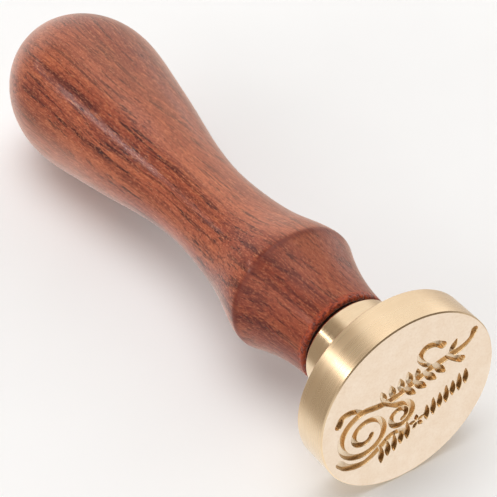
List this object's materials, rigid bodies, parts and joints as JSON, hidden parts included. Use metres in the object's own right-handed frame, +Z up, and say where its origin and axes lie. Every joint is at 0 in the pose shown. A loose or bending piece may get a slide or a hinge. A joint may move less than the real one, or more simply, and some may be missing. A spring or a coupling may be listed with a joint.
{
  "type": "wax seal stamp",
  "caption": "Hand stamp with a turned wooden handle and a screw-on round brass head whose flat face is engraved with a scroll and leaf ornament.",
  "frame": {"origin": "on the floor, under the middle of the stamp's box as it lies on its side", "axes": "+Z up; the turning axis runs along Y, with the engraved face towards -Y and the round end of the handle towards +Y, dipping 0.96 degrees towards +Y because the stamp rests on the rim of the head and on the narrower bulb of the handle"},
  "size_m": [0.025, 0.0906, 0.025],
  "materials": {
    "handle_wood": "turned reddish hardwood under a satin clear lacquer",
    "stud_steel": "bright zinc-plated steel",
    "head_brass": "satin turned brass, fine matte face"
  },
  "bodies": {
    "handle_body": {"handle": "handle_wood"},
    "stud_body": {"stud": "stud_steel"},
    "head_body": {"brass_head": "head_brass"}
  },
  "joints": [
    {"name": "head_turn", "type": "hinge", "parent": "handle_body", "child": "stud_body", "pos_m": [0, -0.03309, 0.01235], "axis": [0, -0.9999, 0.0167], "range_deg": [0, 3240]},
    {"name": "head_travel", "type": "slide", "parent": "stud_body", "child": "head_body", "axis": [0, -0.9999, 0.0167], "range_m": [0, 0.009]}
  ],
  "couplings": [
    {"joint": "head_turn", "follows": "head_travel", "rad_per_m": 6283.2}
  ]
}
